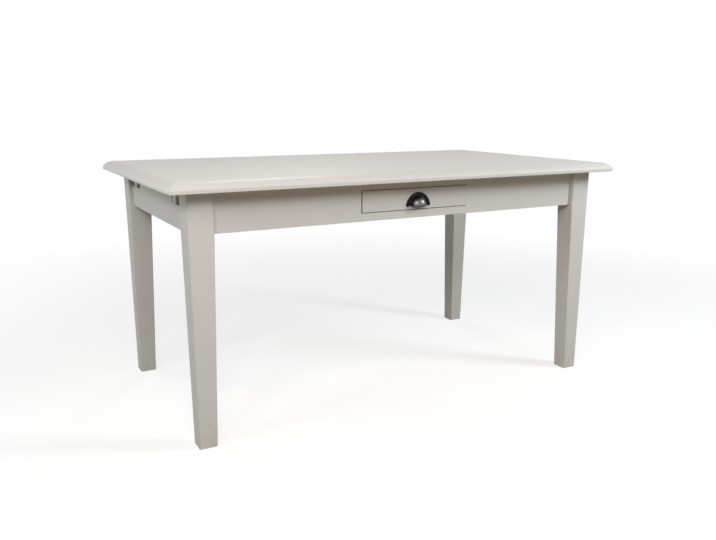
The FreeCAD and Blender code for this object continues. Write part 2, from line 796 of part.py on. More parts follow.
def in_corner(shape, corner, distance, across, height):
    """Aim a fastener along a corner's diagonal, seated at a distance from the corner."""
    side_x, side_y, turn = corner
    frame = Placement(Vector(side_x * apron_back_x.number, side_y * apron_back_y.number, 0),
                      Rotation(Vector(0, 0, 1), turn))
    seat = Placement(Vector(distance, across, height), Rotation(Vector(0, 0, 1), Vector(-1, 0, 0)))
    moved = shape.copy()
    moved.Placement = frame.multiply(seat)
    return moved


for name, corner in table_corners.items():
    brace(name, *corner)

bolt_out = (brace_inner + washer_thickness + nut_thickness + bolt_tail).number
bolt_length = bolt_out - (brace_outer - brace_clearance - bolt_bite).number
bolt_tip_radius = (bolt_radius - bolt_bevel).number
bolt = turned([(0, 0), (bolt_tip_radius, 0), (bolt_radius.number, bolt_bevel.number),
               (bolt_radius.number, bolt_length - bolt_bevel.number),
               (bolt_tip_radius, bolt_length), (0, bolt_length)])
nut_bore_radius = (bolt_radius + screw_clearance).number
washer = Part.makeCylinder(washer_radius.number, washer_thickness.number).cut(
    Part.makeCylinder(bolt_hole_radius.number, washer_thickness.number))
nut_corner = nut_width.number / math.sqrt(3)
hexagon = [Vector(nut_corner * math.cos(math.radians(60 * step)),
                  nut_corner * math.sin(math.radians(60 * step)), 0) for step in range(7)]
nut = Part.Face(Part.makePolygon(hexagon)).extrude(Vector(0, 0, nut_thickness.number)).cut(
    Part.makeCylinder(nut_bore_radius, nut_thickness.number))
brace_screw = pan_head_screw(screw_radius.number, brace_screw_length.number,
                             screw_head_radius.number, screw_head_height.number)
group("hanger_bolts", [in_corner(bolt, corner, bolt_out, 0, bolt_height.number)
                       for corner in table_corners.values()])
group("washers", [in_corner(washer, corner, (brace_inner + washer_thickness).number, 0, bolt_height.number)
                  for corner in table_corners.values()])
group("hex_nuts", [in_corner(nut, corner, bolt_out - bolt_tail.number, 0, bolt_height.number)
                   for corner in table_corners.values()])
group("brace_screws",
      [in_corner(brace_screw, corner, brace_inner.number, side * brace_screw_spread.number,
                 (brace_bottom + level).number)
       for corner in table_corners.values() for side in (-1, 1) for level in brace_screw_heights])


# ---------------------------------------------------------------------------
# Steel angles that hold the top down on the aprons
# ---------------------------------------------------------------------------

bracket_spots = [(spot * end, side * apron_back_y, -90 * side)
                 for side in (-1, 1) for end in (-1, 1) for spot in (bracket_near, bracket_far)]
bracket_spots += [(side * apron_back_x, end * bracket_end, 90 + 90 * side)
                  for side in (-1, 1) for end in (-1, 1)]

plate_thickness, hole_reach = bracket_thickness.number, bracket_hole.number


def angle_plate():
    """An angle with its corner at the origin: one leg along +X, the other down, a hole in each."""
    size, width = bracket_size.number, bracket_width.number
    flat = Part.makeBox(size, width, plate_thickness, Vector(0, -width / 2, -plate_thickness))
    upright = Part.makeBox(plate_thickness, width, size, Vector(0, -width / 2, -size))
    hole_radius = bracket_hole_radius.number
    down = Part.makeCylinder(hole_radius, plate_thickness, Vector(hole_reach, 0, -plate_thickness))
    through = Part.makeCylinder(hole_radius, plate_thickness, Vector(0, 0, -hole_reach), Vector(1, 0, 0))
    return flat.fuse(upright).removeSplitter().cut(down).cut(through)


def at_bracket(shape, spot, place, direction):
    """Aim a shape within the frame of one angle plate."""
    x, y, turn = spot
    frame = Placement(Vector(as_size(x).number, as_size(y).number, top_underside.number),
                      Rotation(Vector(0, 0, 1), turn))
    moved = shape.copy()
    moved.Placement = frame.multiply(
        Placement(Vector(*place), Rotation(Vector(0, 0, 1), Vector(*direction))))
    return moved


for x, y, turn in bracket_spots:
    step_in = Rotation(Vector(0, 0, 1), turn).multVec(Vector(1, 0, 0))
    bore(top, (x + bracket_hole * step_in.x, y + bracket_hole * step_in.y, 0), (0, 0, 1),
         pilot_radius, bracket_pilot)

bracket_screw = pan_head_screw(screw_radius.number, bracket_screw_length.number,
                               screw_head_radius.number, screw_head_height.number)
group("top_brackets", [at_bracket(angle_plate(), spot, (0, 0, 0), (0, 0, 1)) for spot in bracket_spots])
group("bracket_screws",
      [at_bracket(bracket_screw, spot, seat, direction)
       for seat, direction in (((hole_reach, 0, -plate_thickness), (0, 0, 1)),
                               ((plate_thickness, 0, -hole_reach), (-1, 0, 0)))
       for spot in bracket_spots])


# ---------------------------------------------------------------------------
# Check every object, then write one STEP file for each node
# ---------------------------------------------------------------------------

doc.recompute()
for item in doc.Objects:
    if {"Invalid", "Error"} & set(item.State):
        raise RuntimeError(f"{item.Name} has failed: {item.State}")
for node in nodes:
    if node.Shape.isNull() or not node.Shape.isValid():
        raise RuntimeError(f"{node.Label} has no valid shape")

os.makedirs("parts", exist_ok=True)
for node in nodes:
    node.Shape.exportStep(f"parts/{node.Label}.step")
    print(f"{node.Label}: {len(node.Shape.Solids)} solid(s), {node.Shape.Volume / 1000:.1f} cm3")
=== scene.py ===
"""A painted kitchen table with one drawer and four sliding leaf arms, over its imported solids."""
import math

import bpy
import numpy as np
from mathutils import Matrix, Vector


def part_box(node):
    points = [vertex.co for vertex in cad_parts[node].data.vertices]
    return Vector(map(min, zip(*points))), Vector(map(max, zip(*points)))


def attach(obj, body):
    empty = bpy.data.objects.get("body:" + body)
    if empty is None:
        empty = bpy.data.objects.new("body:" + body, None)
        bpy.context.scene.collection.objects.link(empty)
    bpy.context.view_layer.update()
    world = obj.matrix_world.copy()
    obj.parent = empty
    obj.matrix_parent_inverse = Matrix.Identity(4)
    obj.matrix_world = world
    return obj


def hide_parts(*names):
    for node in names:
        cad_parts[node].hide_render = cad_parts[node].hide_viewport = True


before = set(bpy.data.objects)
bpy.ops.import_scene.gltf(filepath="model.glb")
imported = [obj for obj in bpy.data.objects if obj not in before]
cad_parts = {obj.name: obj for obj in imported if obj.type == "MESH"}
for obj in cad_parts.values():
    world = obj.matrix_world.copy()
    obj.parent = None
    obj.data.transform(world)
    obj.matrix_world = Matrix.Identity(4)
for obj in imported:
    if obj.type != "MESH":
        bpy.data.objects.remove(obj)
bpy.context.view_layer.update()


# ---------------------------------------------------------------------------
# Legs
# Four square posts of solid wood. The outer faces are plumb, and the two inner
# faces are planed to a taper from the aprons down. The arrises are eased by
# hand, and each post is primed and brushed with satin paint along its grain.
# ---------------------------------------------------------------------------

class Amount:
    """One output of a node. Arithmetic on it adds Math nodes to its finish."""

    def __init__(self, finish, socket):
        self.finish = finish
        self.socket = socket

    def __add__(self, other):
        return self.finish.math("ADD", self, other)

    def __sub__(self, other):
        return self.finish.math("SUBTRACT", self, other)

    def __rsub__(self, other):
        return self.finish.math("SUBTRACT", other, self)

    def __mul__(self, other):
        return self.finish.math("MULTIPLY", self, other)

    def __truediv__(self, other):
        return self.finish.math("DIVIDE", self, other)

    def __abs__(self):
        return self.finish.math("ABSOLUTE", self)

    def least(self, other):
        return self.finish.math("MINIMUM", self, other)

    def most(self, other):
        return self.finish.math("MAXIMUM", self, other)

    def fraction(self):
        return self.finish.math("FRACT", self)

    def ease(self, start, end):
        """Run smoothly from 0 at start to 1 at end, and stay there on both sides."""
        return self.finish.node("ShaderNodeMapRange", {"interpolation_type": "SMOOTHSTEP"},
                                {"Value": self, "From Min": start, "From Max": end})

    __radd__ = __add__
    __rmul__ = __mul__


class Finish:
    """A finish laid on a piece: one material whose nodes work on the piece's own coordinates."""

    def __init__(self, name):
        self.material = bpy.data.materials.new(name)
        self.material.use_nodes = True
        self.nodes = self.material.node_tree.nodes
        self.links = self.material.node_tree.links
        self.shader = self.nodes["Principled BSDF"]
        self.place = self.node("ShaderNodeTexCoord", output="Object")

    def node(self, kind, settings=None, sockets=None, output=0):
        """Make one node: its settings, then each socket's value or link. Give back one output."""
        made = self.nodes.new(kind)
        for name, value in (settings or {}).items():
            if name == "stops":
                self.set_stops(made.color_ramp, value)
            else:
                setattr(made, name, value)
        for name, value in (sockets or {}).items():
            self.feed(made.inputs[name], value)
        return Amount(self, made.outputs[output])

    @staticmethod
    def set_stops(ramp, stops):
        """Put a ramp's stops in place, each a position and a colour."""
        while len(ramp.elements) < len(stops):
            ramp.elements.new(1.0)
        for element, (position, colour) in zip(ramp.elements, stops):
            element.position = position
            element.color = (*colour, 1.0)

    def feed(self, socket, value):
        """Link a socket, or set the value that it holds."""
        if isinstance(value, Amount):
            self.links.new(value.socket, socket)
        elif socket.type == "RGBA" and len(value) == 3:
            socket.default_value = (*value, 1.0)
        else:
            socket.default_value = value

    def math(self, operation, *terms):
        """One Math node on numbers or amounts."""
        return self.node("ShaderNodeMath", {"operation": operation}, dict(enumerate(terms)))

    def axes(self):
        """The three coordinates of the shaded point, in metres."""
        split = self.node("ShaderNodeSeparateXYZ", None, {0: self.place}).socket.node
        return [Amount(self, output) for output in split.outputs]

    def noise(self, waves, detail=2.0, roughness=0.5, distortion=0.0):
        """Cloudy noise, about 0.5, with its own count of waves a metre along each axis."""
        squeezed = self.node("ShaderNodeMapping", None, {"Vector": self.place, "Scale": waves})
        return self.node("ShaderNodeTexNoise", None,
                         {"Vector": squeezed, "Scale": 1.0, "Detail": detail,
                          "Roughness": roughness, "Distortion": distortion})

    def mix(self, share, under, over, blend="MIX"):
        """Lay one colour over another by a share from 0 to 1."""
        return self.node("ShaderNodeMix", {"data_type": "RGBA", "blend_type": blend},
                         {0: share, 6: under, 7: over}, 2)

    def tint(self, colour, amount):
        """Multiply a colour by a grey of varying lightness."""
        grey = self.node("ShaderNodeCombineColor", None, {0: amount, 1: amount, 2: amount})
        return self.mix(1.0, colour, grey, "MULTIPLY")

    def relief(self, height, depth, below=None):
        """Raise the surface by a height from 0 to 1 times a depth in metres."""
        sockets = {"Height": height, "Distance": depth, "Strength": 1.0}
        if below is not None:
            sockets["Normal"] = below
        return self.node("ShaderNodeBump", None, sockets)

    def set(self, **sockets):
        """Feed the shader's own sockets, named with underscores for spaces."""
        for name, value in sockets.items():
            self.feed(self.shader.inputs[name.replace("_", " ")], value)

    def cover(self, *pieces):
        """Put the finish on pieces."""
        for piece in pieces:
            piece.data.materials.clear()
            piece.data.materials.append(self.material)


SHARP_PAST = math.radians(35)


def skin(name, *shells, closed=False, arris=None):
    """A piece made of closed shells: arrays of points by copy, ring, place round it and axis.

    Quad (i, j) joins points j and j + 1 of rings i and i + 1. The last ring runs on to the first
    where the shell is closed, and otherwise a flat face shuts each end. A shell is turned right
    side out by the sign of the volume in it, the sum of a . (b x c) over its faces. An arris is
    the width of a rounded bevel, and a piece without one keeps its broad faces flat to the light.
    """
    points, faces = [], []
    for rings in shells:
        rings = np.asarray(rings).reshape(-1, *rings.shape[-3:])
        index = np.arange(rings[..., 0].size).reshape(rings.shape[:3])
        near, far = (index, np.roll(index, -1, axis=1)) if closed else (index[:, :-1], index[:, 1:])
        quads = np.stack([near, np.roll(near, -1, axis=2), np.roll(far, -1, axis=2), far],
                         axis=-1).reshape(-1, 4)
        ends = np.zeros((0, rings.shape[2]), int) if closed else np.concatenate(
            [index[:, 0, ::-1], index[:, -1]])
        flat = rings.reshape(-1, 3)
        a, b, c, d = np.moveaxis((flat - flat.mean(axis=0))[quads], 1, 0)
        if (a * (np.cross(b, c) + np.cross(c, d))).sum() < 0:
            quads, ends = quads[:, ::-1], ends[:, ::-1]
        start = sum(len(part) for part in points)
        faces += (quads + start).tolist() + (ends + start).tolist()
        points.append(flat)
    mesh = bpy.data.meshes.new(name)
    mesh.from_pydata(np.concatenate(points).tolist(), [], faces)
    mesh.shade_smooth()
    piece = bpy.data.objects.new(name, mesh)
    bpy.context.scene.collection.objects.link(piece)
    if arris:
        bevel = piece.modifiers.new("eased_arrises", "BEVEL")
        bevel.width = arris
        bevel.segments = 3
        bevel.limit_method = "ANGLE"
        bevel.harden_normals = True
    else:
        mesh.set_sharp_from_angle(angle=SHARP_PAST)
        piece.modifiers.new("flat_faces", "WEIGHTED_NORMAL").keep_sharp = True
    return piece


def round_corners(half_x, half_y, radius, steps=8):
    """Points round a rectangle: each corner's centre plus a radius turned by a quarter circle."""
    quarters = np.arange(4)[:, None] * math.pi / 2
    turn = (quarters + np.linspace(0, math.pi / 2, steps)).ravel()
    side_x = np.repeat([1, -1, -1, 1], steps)
    side_y = np.repeat([1, 1, -1, -1], steps)
    return (side_x * (half_x - radius) + radius * np.cos(turn),
            side_y * (half_y - radius) + radius * np.sin(turn))


def drawn(along, length, across):
    """Waves a metre for a pattern that is drawn out along one axis."""
    return tuple(length if axis == along else across for axis in range(3))


def even(waves):
    """Waves a metre for a pattern that is the same along every axis."""
    return (waves,) * 3


PAINT = (0.66, 0.64, 0.602)
PRIMER = (0.56, 0.48, 0.37)


def painted(name, along, spans, dullness=0.50, shine=0.28, brushed=1.0, stipple=0.4):
    """Satin paint over primer, laid on along one axis.

    spans gives the gap to each of the three pairs of faces from x, y and z, and the middle one of
    the three is how far a point is from the nearest arris. Lightness is 1 give or take slow
    clouds, lap marks and brush lines, less the pores of the grain and the dents. Primer shows
    through where the gap to the arris is under about 1.5 mm and a patchy noise is high.
    """
    paint = Finish(name)
    place = paint.axes()
    gaps = [span(*place) for span in spans]
    arris = gaps[0].least(gaps[1]).most(gaps[0].most(gaps[1]).least(gaps[2]))
    cloud = paint.noise(even(2.3), 3.0)
    laps = paint.noise(drawn(along, 1.1, 24.0), 1.0)
    streak = paint.noise(drawn(along, 3.0, 150.0), 3.0, 0.6)
    bristle = paint.noise(drawn(along, 6.0, 640.0), 2.0, 0.6)
    grain = paint.noise(drawn(along, 9.0, 420.0), 2.0, 0.7, 0.4)
    peel = paint.noise(even(620.0), 1.0)
    patches = paint.noise(even(34.0), 4.0, 0.7)
    pores = grain.ease(0.60, 0.72)
    worn = arris.ease(0.0016, 0.0002) * patches.ease(0.50, 0.66)
    dent = patches.ease(0.74, 0.80)
    lightness = (0.958 + 0.045 * cloud + 0.014 * laps + brushed * 0.026 * streak - 0.018 * pores
                 - 0.04 * dent)
    paint.colour = paint.mix(0.30 * worn, paint.tint(PAINT, lightness), PRIMER)
    paint.dullness = (dullness - 0.08 + 0.06 * cloud + 0.06 * laps + brushed * 0.08 * streak
                      - 0.05 * worn)
    lines = paint.relief(streak + 0.35 * bristle, 0.00009 * brushed)
    paint.bump = paint.relief(peel * stipple - 0.5 * pores - 1.5 * dent, 0.00006, lines)
    paint.set(Base_Color=paint.colour, Roughness=paint.dullness, Normal=paint.bump,
              Specular_IOR_Level=shine)
    return paint


def fit(piece, finish, node, body):
    """Finish a new piece, and let it stand for its node and move with its body."""
    finish.cover(piece)
    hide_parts(node)
    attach(piece, body)


leg_outer_x, leg_outer_y = 0.740, 0.395
leg_square, leg_foot = 0.074, 0.054
apron_bottom, top_underside = 0.630, 0.750
leg_round, leg_easing = 0.003, 0.001
leg_levels = np.array([0.0, leg_easing, apron_bottom, top_underside])
leg_widths = leg_foot + (leg_square - leg_foot) * np.minimum(leg_levels / apron_bottom, 1)
leg_insets = np.array([leg_easing, 0, 0, 0])
SCUFF = (0.33, 0.28, 0.22)
scuff_height = 0.11
table_corners = {"front_left": (-1, -1), "front_right": (1, -1),
                 "back_left": (-1, 1), "back_right": (1, 1)}


def gap_across_leg(outer, axis):
    """The gap from a point of a leg to its plumb outer face or its tapering inner face."""
    def gap(*place):
        depth = outer - abs(place[axis])
        width = leg_foot + (leg_square - leg_foot) / apron_bottom * place[2].least(apron_bottom)
        return depth.least(width - depth)
    return gap


leg_paint = painted("leg_satin", 2, [gap_across_leg(leg_outer_x, 0), gap_across_leg(leg_outer_y, 1),
                                     lambda x, y, z: z.least(top_underside - z)])
_, _, above_floor = leg_paint.axes()
scuffs = (above_floor.ease(scuff_height, 0.0)
          * leg_paint.noise((60.0, 60.0, 25.0), 4.0, 0.65).ease(0.42, 0.70))
leg_paint.set(Base_Color=leg_paint.mix(0.22 * scuffs, leg_paint.colour, SCUFF),
              Roughness=leg_paint.dullness + 0.12 * scuffs)
leg_half = (leg_widths / 2)[:, None]
eased_half = leg_half - leg_insets[:, None]
across_x, across_y = round_corners(eased_half, eased_half, leg_round)
for corner, (side_x, side_y) in table_corners.items():
    rings = np.stack([side_x * (leg_outer_x - leg_half + across_x),
                      side_y * (leg_outer_y - leg_half + across_y),
                      leg_levels[:, None] + 0 * across_x], axis=-1)
    fit(skin(f"painted_leg_{corner}", rings), leg_paint, f"leg_{corner}", "frame")


# ---------------------------------------------------------------------------
# Aprons
# Four boards glued between the legs, set back a little from the legs' faces.
# The front one is cut out for the drawer, and the end ones are notched beside
# each leg for the arms. They are painted, except inside and round the drawer.
# ---------------------------------------------------------------------------

def board(name, outline, across, low, high, arris, opening=None):
    """A sawn board: its outline carried straight through its thickness along one axis.

    An opening is a second outline with as many corners, where the skin turns back through it.
    """
    others = [axis for axis in range(3) if axis != across]
    loops = [(outline, low), (outline, high)]
    if opening:
        loops += [(opening, high), (opening, low)]
    rings = np.empty((len(loops), len(outline), 3))
    for ring, (loop, level) in zip(rings, loops):
        ring[:, others] = loop
        ring[:, across] = level
    return skin(name, rings, closed=opening is not None, arris=arris)


def rectangle(low_u, low_v, high_u, high_v):
    """The corners of a rectangle in their order."""
    return [(low_u, low_v), (high_u, low_v), (high_u, high_v), (low_u, high_v)]


def box_spans(low, high):
    """The gaps from a point of a board to the faces across each axis."""
    return [lambda *place, axis=axis: (place[axis] - low[axis]).least(high[axis] - place[axis])
            for axis in range(3)]


PINE = [(0.0, (0.74, 0.55, 0.34)), (0.55, (0.71, 0.51, 0.30)),
        (0.88, (0.53, 0.31, 0.14)), (1.0, (0.72, 0.53, 0.32))]
BEECH = [(0.0, (0.64, 0.45, 0.29)), (0.70, (0.60, 0.41, 0.26)),
         (0.92, (0.50, 0.32, 0.19)), (1.0, (0.63, 0.44, 0.28))]
KNOT = (0.20, 0.09, 0.04)


def timber(finish, along, pith, spacing, stops, knots=()):
    """The colour and the fibre of sawn wood whose grain runs along one axis.

    A ring's number is the distance from the pith line, bent by slow noise, over the rings' spacing,
    and its fraction runs through the stops from early wood to late wood. Round a knot the rings
    swell outwards, and its heart is dark. Fibre is fine noise drawn out along the grain.
    """
    place = finish.axes()
    first, second = [place[axis] for axis in range(3) if axis != along]
    bend = finish.noise(drawn(along, 1.4, 8.0), 2.0)
    off = first - pith[0] + 0.03 * bend + 0.02 * place[along]
    deep = second - pith[1] + 0.02 * bend
    radius = finish.math("SQRT", off * off + deep * deep)
    hearts = None
    for start, up in knots:
        run, rise = 0.6 * (place[along] - start), second - up
        away = finish.math("SQRT", run * run + rise * rise)
        radius = radius + 0.008 * away.ease(0.022, 0.0)
        heart = away.ease(0.0050, 0.0035)
        hearts = heart if hearts is None else hearts.most(heart)
    fibre = finish.noise(drawn(along, 14.0, 760.0), 3.0, 0.7)
    ring = (radius / spacing + 0.35 * fibre).fraction()
    colour = finish.node("ShaderNodeValToRGB", {"stops": stops}, {0: ring})
    colour = finish.tint(colour, 0.86 + 0.22 * fibre + 0.06 * bend)
    if hearts is not None:
        colour = finish.mix(0.85 * hearts, colour, KNOT)
    return colour, fibre


def leave_bare(coat, share, along, pith, spacing=0.0028):
    """Leave the pine of a painted piece bare where the share is 1."""
    colour, fibre = timber(coat, along, pith, spacing, PINE)
    coat.colour = coat.mix(share, coat.colour, colour)
    coat.set(Base_Color=coat.colour,
             Roughness=coat.dullness + share * (0.14 + 0.12 * fibre),
             Normal=coat.relief(fibre * share, 0.00008, coat.bump))


# Near-black colour painted into the drawer's gap as its shade.
GAP_SHADE = (0.085, 0.060, 0.042)


def shade_gap(coat, share):
    """Darken a finish by a share of near-black painted shade, as deep in a gap."""
    coat.set(Base_Color=coat.mix(0.85 * share, coat.colour, GAP_SHADE))


apron_arris = 0.0006
paint_reach, gap_shade_reach = 0.0022, 0.012
lap_low, lap_high, lap_wander = 0.016, 0.018, 0.014
notch_shelf, notch_edge = 0.700, 0.200
opening_low, opening_high, opening_half = 0.655, 0.725, 0.198
for side, axis, along in (("front", 1, 0), ("back", 1, 0), ("left", 0, 1), ("right", 0, 1)):
    node = f"apron_{side}"
    low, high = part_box(node)
    half = high[along]
    outward = 1 if high[axis] > 0 else -1
    inner_face = min(abs(low[axis]), abs(high[axis]))
    if axis == 1:
        outline = rectangle(-half, apron_bottom, half, top_underside)
    else:
        outline = [(-half, apron_bottom), (half, apron_bottom), (half, notch_shelf),
                   (notch_edge, notch_shelf), (notch_edge, top_underside),
                   (-notch_edge, top_underside), (-notch_edge, notch_shelf), (-half, notch_shelf)]
    opening = None
    if side == "front":
        opening = rectangle(-opening_half, opening_low, opening_half, opening_high)
    piece = board(f"painted_{node}", outline, axis, low[axis], high[axis], apron_arris, opening)
    coat = painted(f"{node}_satin", along, box_spans(low, high))
    place = coat.axes()
    inside = abs(place[axis]).ease(inner_face + 0.0012, inner_face + 0.0004)
    lap_edge = place[2] + lap_wander * coat.noise(even(40.0), 3.0)
    bare_share = inside * lap_edge.ease(apron_bottom + lap_low, apron_bottom + lap_high)
    if opening:
        in_opening = (abs(place[0]).ease(opening_half + 0.0010, opening_half + 0.0005)
                      * place[2].ease(opening_low - 0.0010, opening_low - 0.0005)
                      * place[2].ease(opening_high + 0.0010, opening_high + 0.0005)
                      * place[1].ease(low.y + paint_reach / 4, low.y + paint_reach))
        bare_share = bare_share.most(in_opening)
    leave_bare(coat, bare_share, along, (outward * (0.55 if axis == 1 else 0.90), 0.60))
    if opening:
        # Painted shade: the faces deep in the drawer's opening are darkened towards near-black.
        shade_gap(coat, in_opening * place[1].ease(low.y + gap_shade_reach, low.y + gap_shade_reach / 2))
    fit(piece, coat, node, "frame")


# ---------------------------------------------------------------------------
# Corner braces
# A bare beech block screwed across each inner corner of the aprons. A hanger
# bolt screwed into the leg's corner goes through it, and a washer and a hexagon
# nut pull the leg in tight. All the steel is bright zinc plated.
# ---------------------------------------------------------------------------

def bare(name, along, pith, spacing, stops, knots=()):
    """Sawn and sanded wood left bare, with its fibres just standing proud."""
    wood = Finish(name)
    colour, fibre = timber(wood, along, pith, spacing, stops, knots)
    rays = wood.noise(drawn(along, 170.0, 900.0), 1.0).ease(0.63, 0.70)
    handled = wood.noise(even(5.0), 3.0)
    wood.set(Base_Color=wood.tint(colour, 1.04 - 0.10 * rays - 0.10 * handled),
             Roughness=0.50 + 0.16 * fibre + 0.06 * handled,
             Normal=wood.relief(fibre - 0.3 * rays, 0.00008), Specular_IOR_Level=0.35)
    return wood


def turned(profile, steps=32):
    """Rings of a turned shape: each point of its profile, a radius and a height, carried round."""
    radius, height = np.array(profile, float).T
    turn = np.linspace(0, 2 * math.pi, steps, endpoint=False)
    return np.stack([radius[:, None] * np.cos(turn), radius[:, None] * np.sin(turn),
                     height[:, None] + 0 * turn], axis=-1)


def seated(rings, seats, facing, turns=0.0):
    """Copies of rings, one at each seat, with their own z along its facing and turned about it."""
    facing = np.array(facing, float)
    facing /= np.linalg.norm(facing, axis=1, keepdims=True)
    level = np.where(np.abs(facing[:, 2:]) > 0.9, (1.0, 0.0, 0.0), (0.0, 0.0, 1.0))
    side = np.cross(level, facing)
    rise = np.cross(facing, side)
    turns = (np.zeros(len(facing)) + turns)[:, None]
    axes = np.stack([side * np.cos(turns) + rise * np.sin(turns),
                     rise * np.cos(turns) - side * np.sin(turns), facing], axis=1)
    return np.array(seats)[:, None, None] + np.einsum("rpk,nkx->nrpx", rings, axes)


def slotted_head(radius, height, slot, slot_depth):
    """Rings of a pan head on z = 0: ring by ring across its slot, each the head's section there.

    At a distance y across, the section is 2 sqrt(radius^2 - y^2) wide. Its crown is
    height (0.45 + 0.55 sqrt(1 - (r / radius)^2)) high at r from the axis, or the slot's floor.
    The first and last rings are just short of the rim, where a section would be a point.
    """
    walls = slot / 2 * np.array([-1.001, -0.999, 0.999, 1.001])
    across = np.sort(np.concatenate([radius * np.sin(np.linspace(-1.5, 1.5, 15)), walls]))[:, None]
    share = np.sin(np.linspace(-math.pi / 2, math.pi / 2, 15))
    along = share * np.sqrt(radius ** 2 - across ** 2)
    reach = np.minimum((along ** 2 + across ** 2) / radius ** 2, 1)
    crown = height * (0.45 + 0.55 * np.sqrt(1 - reach))
    crown = np.where(np.abs(across) < slot / 2, np.minimum(crown, height - slot_depth), crown)
    over = np.stack([along, across + 0 * along, crown], axis=-1)
    under = np.stack([along[:, [-1, 0]], across + 0 * along[:, :2], 0 * along[:, :2]], axis=-1)
    return np.concatenate([over, under], axis=1)


def point_and_shank(radius, length):
    """Rings of a screw's shank below z = 0, drawn in to a point over its last two radii."""
    return turned([(radius, 0), (radius, -length + 2 * radius), (0.05 * radius, -length)], 16)


def screws(name, seats, facing, turns, head, slot, shank):
    """Slotted screws, one at each seat: a head's radius and height, its slot's width and depth,
    and a shank's radius and length."""
    return skin(name, seated(slotted_head(*head, *slot), seats, facing, turns),
                seated(point_and_shank(*shank), seats, facing))


ZINC_LIGHT, ZINC_DULL, ZINC_SPOT = (0.74, 0.74, 0.72), (0.55, 0.56, 0.55), (0.46, 0.45, 0.42)
zinc = Finish("zinc_plate")
cloudy = zinc.noise(even(90.0), 4.0, 0.6)
spots = zinc.noise(even(700.0), 2.0).ease(0.66, 0.74)
scratch = zinc.noise((60.0, 1500.0, 900.0), 2.0, 0.6)
zinc.set(Base_Color=zinc.mix(0.5 * spots, zinc.mix(cloudy, ZINC_LIGHT, ZINC_DULL), ZINC_SPOT),
         Metallic=1.0 - 0.6 * spots, Roughness=0.24 + 0.16 * cloudy + 0.08 * scratch + 0.2 * spots,
         Normal=zinc.relief(scratch + cloudy, 0.00002))

brace_wood = bare("beech_blocks", 2, (0.9, 0.55), 0.0022, BEECH)
brace_wood.cover(*[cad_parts[f"brace_{corner}"] for corner in table_corners])

inner_x, inner_y = 0.706, 0.361
brace_face, bolt_height = 0.08407, 0.665
washer_thick, washer_radius, bolt_clearance = 0.002, 0.012, 0.0045
nut_thick, nut_half = 0.0065, 0.0065
bolt_start, bolt_end, bolt_radius = 0.01657, 0.09757, 0.004
corner_sides = np.array([(-1, -1), (1, -1), (1, 1), (-1, 1)])
diagonals = np.column_stack([-corner_sides, [0, 0, 0, 0]]) / math.sqrt(2)


def in_corners(distance, level):
    """The point at a distance along each inner corner's diagonal, at one level."""
    corners = np.column_stack([corner_sides * (inner_x, inner_y), [level] * 4])
    return corners + distance * diagonals


def thread(length, radius, pitch, depth, end_bevel=0.0008, steps=20):
    """Rings of a threaded rod from z = 0: at height h and turn t, the radius falls from the crest
    by the depth times twice the distance of h / pitch - t from a whole number. A bevel of
    45 degrees takes off each end."""
    heights = np.arange(0, length + pitch / 6, pitch / 6).clip(0, length)[:, None]
    turn = np.linspace(0, 1, steps, endpoint=False)
    phase = heights / pitch - turn
    crest = radius - depth * 2 * np.abs(phase - np.round(phase))
    bevel = radius - end_bevel + np.minimum(heights, length - heights)
    across = np.minimum(crest, bevel)
    return np.stack([across * np.cos(2 * math.pi * turn), across * np.sin(2 * math.pi * turn),
                     heights + 0 * turn], axis=-1)


def hexagon_nut(half, thick, bore, bore_bevel=0.0004, steps=48):
    """Rings round a nut's section: a hexagon's flat is at half / cos(angle from its middle), and a
    cone of 30 degrees that starts inside the flats at each face takes off the six points."""
    turn = np.linspace(0, 2 * math.pi, steps, endpoint=False)
    flats = half / np.cos((turn + math.pi / 6) % (math.pi / 3) - math.pi / 6)
    depths = np.array([0.0, 0.00025, 0.0005, 0.0008])[:, None]
    cone = np.minimum(flats, 0.95 * half + depths * math.sqrt(3))
    bores = np.array([bore + bore_bevel, bore])[:, None] + 0 * turn
    radii = np.concatenate([bores[::-1], cone, cone[::-1], bores])
    levels = np.concatenate([[bore_bevel, 0], depths[:, 0], thick - depths[::-1, 0],
                             [thick, thick - bore_bevel]])
    return np.stack([radii * np.cos(turn), radii * np.sin(turn), levels[:, None] + 0 * turn],
                    axis=-1)


thread_pitch, thread_depth = 0.00125, 0.0007
bolt = thread(bolt_end - bolt_start, bolt_radius, thread_pitch, thread_depth)
fit(skin("threaded_bolts", seated(bolt, in_corners(bolt_start, bolt_height), diagonals)),
    zinc, "hanger_bolts", "frame")

washer_edge = 0.0003
washer_inner, washer_outer = bolt_clearance + washer_edge, washer_radius - washer_edge
washer_shoulder = washer_thick - washer_edge
washer = turned([(bolt_clearance, washer_edge), (washer_inner, 0), (washer_outer, 0),
                 (washer_radius, washer_edge), (washer_radius, washer_shoulder),
                 (washer_outer, washer_thick), (washer_inner, washer_thick),
                 (bolt_clearance, washer_shoulder)], 48)
fit(skin("flat_washers", seated(washer, in_corners(brace_face, bolt_height), diagonals),
         closed=True),
    zinc, "washers", "frame")

nut_slack = 0.00005
nut_turns = np.array([0.3, 1.1, 0.7, 1.9])
fit(skin("hexagon_nuts", seated(hexagon_nut(nut_half, nut_thick, bolt_radius + nut_slack),
                                in_corners(brace_face + washer_thick, bolt_height), diagonals,
                                nut_turns), closed=True),
    zinc, "hex_nuts", "frame")

screw_radius, pan_head, pan_slot = 0.002, (0.004, 0.0024), (0.0009, 0.0011)
turn_apart = 2.4
brace_screw_spread, brace_screw_rise, brace_screw_length = 0.068, 0.017, 0.035
sideways = np.column_stack([diagonals[:, 1], -diagonals[:, 0], [0, 0, 0, 0]])
brace_seats = np.concatenate([in_corners(brace_face, bolt_height + rise) + spread * sideways
                              for rise in (-brace_screw_rise, brace_screw_rise)
                              for spread in (-brace_screw_spread, brace_screw_spread)])
fit(screws("slotted_brace_screws", brace_seats, np.tile(diagonals, (4, 1)),
           turn_apart * np.arange(len(brace_seats)), pan_head, pan_slot,
           (screw_radius, brace_screw_length)),
    zinc, "brace_screws", "frame")


